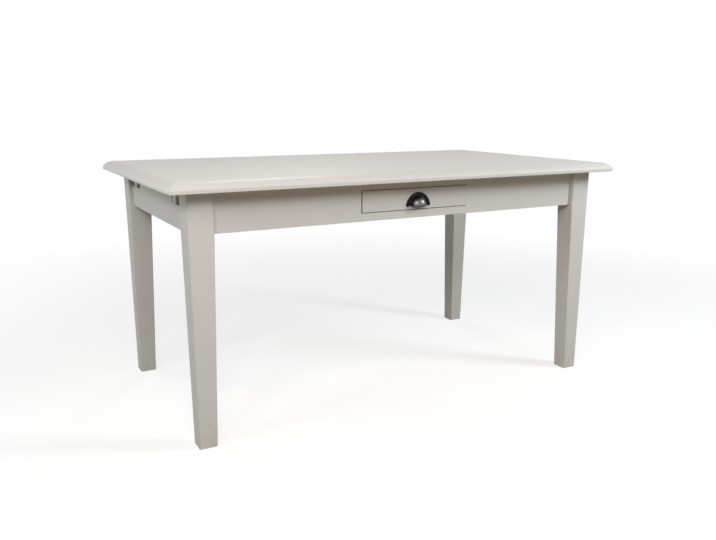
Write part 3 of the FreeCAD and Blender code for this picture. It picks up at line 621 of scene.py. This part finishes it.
# ---------------------------------------------------------------------------
# Bearers
# Two bare beech cross rails housed into the long aprons. Their upper edges are
# notched for the arms, and the drawer's runners are screwed to their faces.
# ---------------------------------------------------------------------------

for side, pith in (("left", (-0.9, 0.62)), ("right", (0.9, 0.60))):
    bare(f"beech_bearer_{side}", 1, pith, 0.0023, BEECH).cover(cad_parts[f"bearer_{side}"])


# ---------------------------------------------------------------------------
# Leaf arms and pegs
# Four painted bars that slide out of the end notches on their bearers to hold a
# leaf. The paint is rubbed on the arrises that slide. A turned beech peg in each
# bar's side meets the bearer when the bar is right out.
# ---------------------------------------------------------------------------

peg_wood = bare("beech_pegs", 1, (0.3, 0.3), 0.0016, BEECH)
peg_bevel = 0.0008
for place_name in ("left_front", "left_back", "right_front", "right_back"):
    arm = f"arm_{place_name}"
    low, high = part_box(arm)
    coat = painted(f"{arm}_satin", 0, box_spans(low, high))
    _, across, up = coat.axes()
    sliding = (up - low.z).least(high.z - up).ease(0.0040, 0.0005)
    rubbed = sliding * coat.noise((9.0, 120.0, 120.0), 4.0, 0.7).ease(0.44, 0.60)
    coat.set(Base_Color=coat.mix(0.35 * rubbed, coat.colour, PRIMER),
             Roughness=coat.dullness - 0.10 * rubbed)
    coat.cover(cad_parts[arm])

    low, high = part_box(f"arm_peg_{place_name}")
    radius = (high.x - low.x) / 2
    length = high.y - low.y
    dowel = turned([(radius - peg_bevel, 0), (radius, peg_bevel), (radius, length - peg_bevel),
                    (radius - peg_bevel, length)])
    seat = [((low.x + high.x) / 2, low.y, (low.z + high.z) / 2)]
    fit(skin(f"turned_peg_{place_name}", seated(dowel, seat, [(0, 1, 0)])), peg_wood,
        f"arm_peg_{place_name}", arm)


# ---------------------------------------------------------------------------
# Drawer
# A shallow pine box with grooved sides that hang on beech runners, and a thin
# plywood bottom slid into its grooves. Its front is cut to the opening with a
# narrow gap all round, and only its face is painted.
# ---------------------------------------------------------------------------

left_knots, right_knots = [(-0.19, 0.686)], [(-0.27, 0.671), (-0.08, 0.690)]
for name, node, along, pith, spacing, knots in (
        ("pine_left_side", "drawer_side_left", 1, (-0.32, 0.64), 0.0034, left_knots),
        ("pine_right_side", "drawer_side_right", 1, (0.30, 0.60), 0.0030, right_knots),
        ("pine_back", "drawer_back", 0, (0.12, 0.66), 0.0032, ())):
    bare(name, along, pith, spacing, PINE, knots).cover(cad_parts[node])

BIRCH = [(0.0, (0.72, 0.57, 0.40)), (0.6, (0.68, 0.51, 0.34)), (1.0, (0.58, 0.41, 0.25))]
CROSS_PLY = (0.42, 0.28, 0.16)
low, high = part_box("drawer_bottom")
ply = Finish("birch_plywood")
_, _, up = ply.axes()
veneer_curl = ply.noise((1.6, 9.0, 1.0), 3.0, 0.5, 1.4)
veneer_fibre = ply.noise((18.0, 620.0, 620.0), 3.0, 0.7)
veneer = ply.node("ShaderNodeValToRGB", {"stops": BIRCH},
                  {0: (7.0 * veneer_curl).fraction() * 0.7 + 0.3 * veneer_fibre})
inner_ply = 0.7 * abs(up - (low.z + high.z) / 2).ease(0.0008, 0.0006)
face_ply = ply.tint(veneer, 0.92 + 0.14 * veneer_fibre)
ply.set(Base_Color=ply.mix(inner_ply, face_ply, CROSS_PLY),
        Roughness=0.46 + 0.16 * veneer_fibre, Normal=ply.relief(veneer_fibre, 0.00005),
        Specular_IOR_Level=0.35)
ply.cover(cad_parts["drawer_bottom"])

low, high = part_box("drawer_front")
front_arris = 0.0006
front_board = board("painted_drawer_front", rectangle(low.x, low.z, high.x, high.z), 1,
                    low.y, high.y, front_arris)
front_coat = painted("drawer_front_satin", 0, box_spans(low, high))
across, depth, up = front_coat.axes()
from_edge = ((across - low.x).least(high.x - across)).least((up - low.z).least(high.z - up))
in_gap = from_edge.ease(0.0004, 0.0001) * depth.ease(low.y + paint_reach / 4, low.y + paint_reach)
behind = (depth + 0.002 * front_coat.noise(even(70.0), 3.0)).ease(high.y - 0.0006, high.y)
leave_bare(front_coat, behind.most(in_gap), 0, (-0.60, 0.62))
# Painted shade: the drawer front's edges deep in the gap are darkened towards near-black.
shade_gap(front_coat, in_gap * depth.ease(low.y + gap_shade_reach, low.y + gap_shade_reach / 2))
fit(front_board, front_coat, "drawer_front", "drawer")

runner_wood = bare("beech_runners", 1, (0.25, 0.70), 0.0018, BEECH)
runner_wood.cover(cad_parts["runner_left"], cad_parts["runner_right"])
zinc.cover(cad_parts["runner_screws"])


# ---------------------------------------------------------------------------
# Cup pull
# A cast iron cup: half a dome, open below for the fingers, on a half-round
# plate with an ear at each end. It is blackened and waxed, and fingers keep the
# dome's front bright, while near the plate and the lip its colour is painted
# darker as shade. A slotted screw with a pan head goes through each ear.
# ---------------------------------------------------------------------------

low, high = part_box("cup_pull")
plate_radius, plate_foot, plate_thick, plate_hole = 0.0445, 0.002717, 0.0025, 0.025
plate_arris = 0.0006
pull_x, pull_y, pull_z = (low.x + high.x) / 2, high.y, high.z - plate_radius
cup_rise = 0.0045
ear_x, ear_z, ear_radius = 0.039, 0.006, 0.0065


def sweep(centre, radius, start, end, steps):
    """Points of an arc: its centre plus its radius turned from start to end, in degrees."""
    turn = np.radians(np.linspace(start, end, steps))
    return np.column_stack([centre[0] + radius * np.cos(turn),
                            centre[1] + radius * np.sin(turn)])


def on_front(x, out, z):
    """Points on the drawer's face: how far across it, out of it and up it they are."""
    return np.stack(np.broadcast_arrays(pull_x + x, pull_y - out, pull_z + z), axis=-1)


ear_under, ear_over, plate_start = -149.7, 50.9, 16.38
hole_end = math.degrees(math.asin((plate_foot - cup_rise) / plate_hole))
half_plate = np.concatenate([[(plate_hole * math.cos(math.radians(hole_end)), plate_foot)],
                             sweep((ear_x, ear_z), ear_radius, ear_under, ear_over, 20),
                             sweep((0, 0), plate_radius, plate_start, 90, 24)])
hole_edge = sweep((0, cup_rise), plate_hole, 180 - hole_end, hole_end, 33)[1:-1]
plate = np.concatenate([half_plate, half_plate[-2::-1] * (-1, 1), hole_edge])
plate_rings = np.stack([on_front(plate[:, 0], out, plate[:, 1]) for out in (0.0, plate_thick)])
iron_plate = skin("iron_plate", plate_rings, arris=plate_arris)

# The cup is part of a hollow ball whose centre lies behind the plate and a little above the lip.
# Across it at turn t its cuts are arcs in upright planes: a point is the radius times (cos t, sin t
# cos v - sin lean out, sin t sin v up) above the centre, where v runs from the lip, or from the
# plate where the cut meets that first, up to the plate. The section goes up outside, down inside
# and round the lip.
cup_radius, cup_wall, lean = 0.0295, 0.0025, math.radians(10.75)
lip_share, lip_margin = 0.028, 0.015
up_outside = np.linspace(lip_share, 1, 22)
lip_turn = np.linspace(0, math.pi, 7)[1:-1]
section_radius = np.concatenate([0 * up_outside + cup_radius,
                                 0 * up_outside + cup_radius - cup_wall,
                                 cup_radius - cup_wall / 2 * (1 + np.cos(lip_turn))])
section_share = np.concatenate([up_outside, up_outside[::-1], lip_share * (1 - np.sin(lip_turn))])
lip_line = np.linspace(lean + lip_margin, math.pi - lean - lip_margin, 61)[:, None]
at_plate = np.arccos(math.sin(lean) / np.sin(lip_line))
at_lip = np.arcsin(np.minimum(cup_rise / (section_radius * np.sin(lip_line)), np.sin(at_plate)))
section_turn = section_share * at_plate - (1 - section_share) * at_lip
cup_rings = on_front(section_radius * np.cos(lip_line),
                     section_radius * (np.sin(lip_line) * np.cos(section_turn) - math.sin(lean)),
                     cup_rise + section_radius * np.sin(lip_line) * np.sin(section_turn))

# A small bead with a hollow face fills the corner where the cup leaves the plate.
bead, tuck = 0.002, 0.0006
cup_foot = math.sqrt(cup_radius ** 2 - (cup_radius * math.sin(lean) + plate_thick) ** 2)
bead_turn = np.radians(np.linspace(270, 180, 6))
bead_out = np.concatenate([[plate_thick - bead / 4],
                           plate_thick + bead + bead * np.sin(bead_turn), [plate_thick]])
bead_radius = np.concatenate([[cup_foot + bead],
                              cup_foot + bead + bead * np.cos(bead_turn) - tuck,
                              [cup_foot - bead / 4]])
bead_line = np.radians(np.linspace(-2, 182, 53))[:, None]
bead_rings = on_front(bead_radius * np.cos(bead_line), bead_out + 0 * bead_line,
                      cup_rise + bead_radius * np.sin(bead_line))
iron_cup = skin("iron_cup", cup_rings, bead_rings)

BLACKENED, RUBBED = (0.012, 0.011, 0.010), (0.16, 0.152, 0.142)
iron = Finish("blackened_iron")
_, forward, up = iron.axes()
pits = iron.noise(even(900.0), 3.0, 0.6)
patches = iron.noise(even(150.0), 3.0, 0.6)
# Rubbed bright metal on the dome's front, and painted shade: darker colour towards the plate and
# towards the lip.
rubbed_and_painted_shade = ((pull_y - forward).ease(0.006, 0.018)
            * (0.30 + 0.70 * (up - pull_z).ease(0.0, 0.007)))
bright = rubbed_and_painted_shade * (0.66 + 0.5 * patches)
iron.set(Base_Color=iron.mix(bright, BLACKENED, RUBBED), Metallic=1.0,
         Roughness=0.38 - 0.04 * bright + 0.08 * patches,
         Normal=iron.relief(pits + 2.0 * patches, 0.00005), Coat_Weight=0.10, Coat_Roughness=0.25)
fit(iron_plate, iron, "cup_pull", "drawer")
fit(iron_cup, iron, "cup_pull", "drawer")

ear_head, ear_slot, ear_shank = (0.003, 0.0015), (0.0008, 0.0008), (0.0015, 0.014)
ear_turns = np.array([0.5, 2.3])
fit(screws("slotted_pull_screws", on_front(np.array([-ear_x, ear_x]), plate_thick, ear_z),
           [(0, -1, 0), (0, -1, 0)], ear_turns, ear_head, ear_slot, ear_shank),
    iron, "pull_screws", "drawer")


# ---------------------------------------------------------------------------
# Top
# One wide panel whose upper edge rounds down in a shallow curve to a narrow
# flat. Satin paint is rolled on above and round the edge, and it is bare below.
# Zinc-plated steel angles and pan-head screws hold it down on the aprons.
# ---------------------------------------------------------------------------

top_low, top_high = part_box("table_top")
roll_run, roll_drop = 0.036, 0.020
under_round, top_corner, least_corner = 0.002, 0.006, 0.0005
roll_radius = (roll_run ** 2 + roll_drop ** 2) / (2 * roll_drop)
fall = np.linspace(0, math.acos(1 - roll_drop / roll_radius), 25)
turn_under = np.linspace(0, math.pi / 2, 6)
inset = np.concatenate([roll_run - roll_radius * np.sin(fall),
                        under_round * (1 - np.cos(turn_under))])[:, None]
heights = np.concatenate([top_high.z - roll_radius * (1 - np.cos(fall)),
                          top_low.z + under_round * (1 - np.sin(turn_under))])[:, None]
edge_x, edge_y = round_corners(top_high.x - inset, top_high.y - inset,
                               np.maximum(top_corner - inset, least_corner), 10)
top = skin("painted_top", np.stack([edge_x, edge_y, heights + 0 * edge_x], axis=-1))
top_coat = painted("top_satin", 0, box_spans(top_low, top_high), dullness=0.45, shine=0.36,
                   brushed=0.25, stipple=1.0)
lap_from, lap_to, lap_spread = 0.030, 0.040, 0.016
along_top, across_top, up = top_coat.axes()
from_edge = (top_high.x - abs(along_top)).least(top_high.y - abs(across_top))
lap_edge = from_edge + lap_spread * top_coat.noise(even(30.0), 4.0, 0.6)
underneath = up.ease(top_low.z + 0.0006, top_low.z + 0.0001)
leave_bare(top_coat, underneath * lap_edge.ease(lap_from, lap_to), 0, (0.20, 0.20), 0.0040)
fit(top, top_coat, "table_top", "frame")

zinc.cover(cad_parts["top_brackets"])
bracket_hole, bracket_thick, bracket_screw_length = 0.014, 0.002, 0.016
long_places, end_place = (0.340, 0.560), 0.120
angles = [(place * end, side * inner_y, 0, -side)
          for side in (-1, 1) for end in (-1, 1) for place in long_places]
angles += [(side * inner_x, end * end_place, -side, 0) for side in (-1, 1) for end in (-1, 1)]
angles = np.array(angles)
into = np.column_stack([angles[:, 2:], 0 * angles[:, 0]])
bends = np.column_stack([angles[:, :2], top_underside + 0 * angles[:, 0]])
bracket_seats = np.concatenate([bends + bracket_hole * into - (0, 0, bracket_thick),
                                bends + bracket_thick * into - (0, 0, bracket_hole)])
bracket_facing = np.concatenate([np.tile((0.0, 0.0, -1.0), (len(angles), 1)), into])
fit(screws("slotted_bracket_screws", bracket_seats, bracket_facing,
           turn_apart * np.arange(len(bracket_seats)), pan_head, pan_slot,
           (screw_radius, bracket_screw_length)),
    zinc, "bracket_screws", "frame")


# ---------------------------------------------------------------------------
# Where it stands
# A pale studio floor that whitens a little way off, soft lamps round the table
# and a view from beside its near left corner.
# ---------------------------------------------------------------------------

def stage_shown(finish):
    """1 where the stage is seen, also in a gloss or through glass, and 0 where it only lights."""
    paths = finish.node("ShaderNodeLightPath").socket.node.outputs
    camera_ray, glossy_ray, through_ray = [Amount(finish, paths[f"Is {kind} Ray"])
                                           for kind in ("Camera", "Glossy", "Transmission")]
    return camera_ray.most(glossy_ray).most(through_ray)


floor_half = 40.0
floor_corners = rectangle(-floor_half, -floor_half, floor_half, floor_half)
floor_mesh = bpy.data.meshes.new("studio_floor")
floor_mesh.from_pydata([(x, y, 0) for x, y in floor_corners], [], [(0, 1, 2, 3)])
floor = bpy.data.objects.new("studio_floor", floor_mesh)
bpy.context.scene.collection.objects.link(floor)

WHITE, FLOOR_SHADE, FLOOR_BOUNCE = (1, 1, 1), (0.35, 0.35, 0.35), (0.42, 0.385, 0.33)
floor_glow = 0.72
whitens_from, white_past = 1.2, 3.4
ground = Finish("studio_white")
from_middle = ground.node("ShaderNodeVectorMath", {"operation": "LENGTH"}, {0: ground.place},
                          "Value")
far_off = from_middle.ease(whitens_from, white_past)
near_floor = ground.node("ShaderNodeAddShader", None, {
    0: ground.node("ShaderNodeBsdfDiffuse", None, {"Color": FLOOR_SHADE}),
    1: ground.node("ShaderNodeEmission", None, {"Color": WHITE, "Strength": floor_glow})})
white = ground.node("ShaderNodeEmission", None, {"Color": WHITE, "Strength": 1.0})
seen = ground.node("ShaderNodeMixShader", None, {0: far_off, 1: near_floor, 2: white})
bounce = ground.node("ShaderNodeBsdfDiffuse", None, {"Color": FLOOR_BOUNCE})
above = ground.node("ShaderNodeMixShader", None, {0: stage_shown(ground), 1: bounce, 2: seen})
below = ground.node("ShaderNodeBsdfTransparent")
side_seen = ground.node("ShaderNodeNewGeometry", None, None, "Backfacing")
ground.feed(ground.nodes["Material Output"].inputs["Surface"],
            ground.node("ShaderNodeMixShader", None, {0: side_seen, 1: above, 2: below}))
ground.cover(floor)


class Air(Finish):
    """The air round the stage: the world's nodes, which hold no shader that a piece would wear."""

    def __init__(self, world):
        self.nodes = world.node_tree.nodes
        self.links = world.node_tree.links


world = bpy.data.worlds.new("studio_air")
world.use_nodes = True
bpy.context.scene.world = world
air = Air(world)
air_light = 0.05
background = world.node_tree.nodes["Background"].inputs
air.feed(background["Color"], WHITE)
air.feed(background["Strength"], air_light + (1 - air_light) * stage_shown(air))

lamp_aim, lamp_distance = Vector((0, 0, 0.5)), 3.2


def lamp(name, bearing, rise, size, power, colour=WHITE):
    """A soft square lamp aimed at the table, at a bearing from its front and a rise in degrees."""
    light = bpy.data.lights.new(name, "AREA")
    light.shape = "SQUARE"
    light.size = size
    light.energy = power
    light.color = colour
    turn, lift = math.radians(bearing), math.radians(rise)
    towards = Vector((math.sin(turn) * math.cos(lift), -math.cos(turn) * math.cos(lift),
                      math.sin(lift)))
    softbox = bpy.data.objects.new(name, light)
    softbox.location = lamp_aim + lamp_distance * towards
    softbox.rotation_euler = towards.to_track_quat("Z", "Y").to_euler()
    bpy.context.scene.collection.objects.link(softbox)


lamp("right_low", 50, 26, 0.6, 40.8, (0.90, 0.955, 1.0))
lamp("right_high", 50, 34, 0.6, 12.0)
lamp("left_low", -30, 26, 0.6, 21.2, (1.0, 0.97, 0.95))
lamp("left_high", -30, 50, 0.6, 16.5, (1.0, 0.84, 0.68))
lamp("left_side", -50, 26, 0.6, 15.4, (0.94, 0.95, 1.0))
lamp("left_end", -75, 34, 0.6, 13.4, (0.87, 0.94, 1.0))
lamp("left_back", -135, 12, 0.7, 15.8, (0.90, 0.99, 0.97))
lamp("back", 160, 45, 0.7, 13.0)

view_from = (-1.280651, -2.331210, 0.979779)
view_turn, view_dip, view_roll = 0.513023, 0.250670, 0.004491
ahead = Vector((math.sin(view_turn) * math.cos(view_dip),
                math.cos(view_turn) * math.cos(view_dip), -math.sin(view_dip)))
right = Vector((math.cos(view_turn), -math.sin(view_turn), 0))
up = right.cross(ahead)
rolled_right = math.cos(view_roll) * right + math.sin(view_roll) * up
rolled_up = math.cos(view_roll) * up - math.sin(view_roll) * right
camera = bpy.data.objects.new("viewpoint", bpy.data.cameras.new("viewpoint"))
facing = Matrix((rolled_right, rolled_up, -ahead)).transposed()
camera.matrix_world = Matrix.Translation(view_from) @ facing.to_4x4()
camera.data.sensor_width = 36.0
camera.data.lens = 36.8107
camera.data.shift_x = -0.010260
camera.data.shift_y = 0.030190
camera.data.clip_end = 200.0
bpy.context.scene.collection.objects.link(camera)
bpy.context.scene.camera = camera
bpy.context.scene.view_settings.view_transform = "Standard"
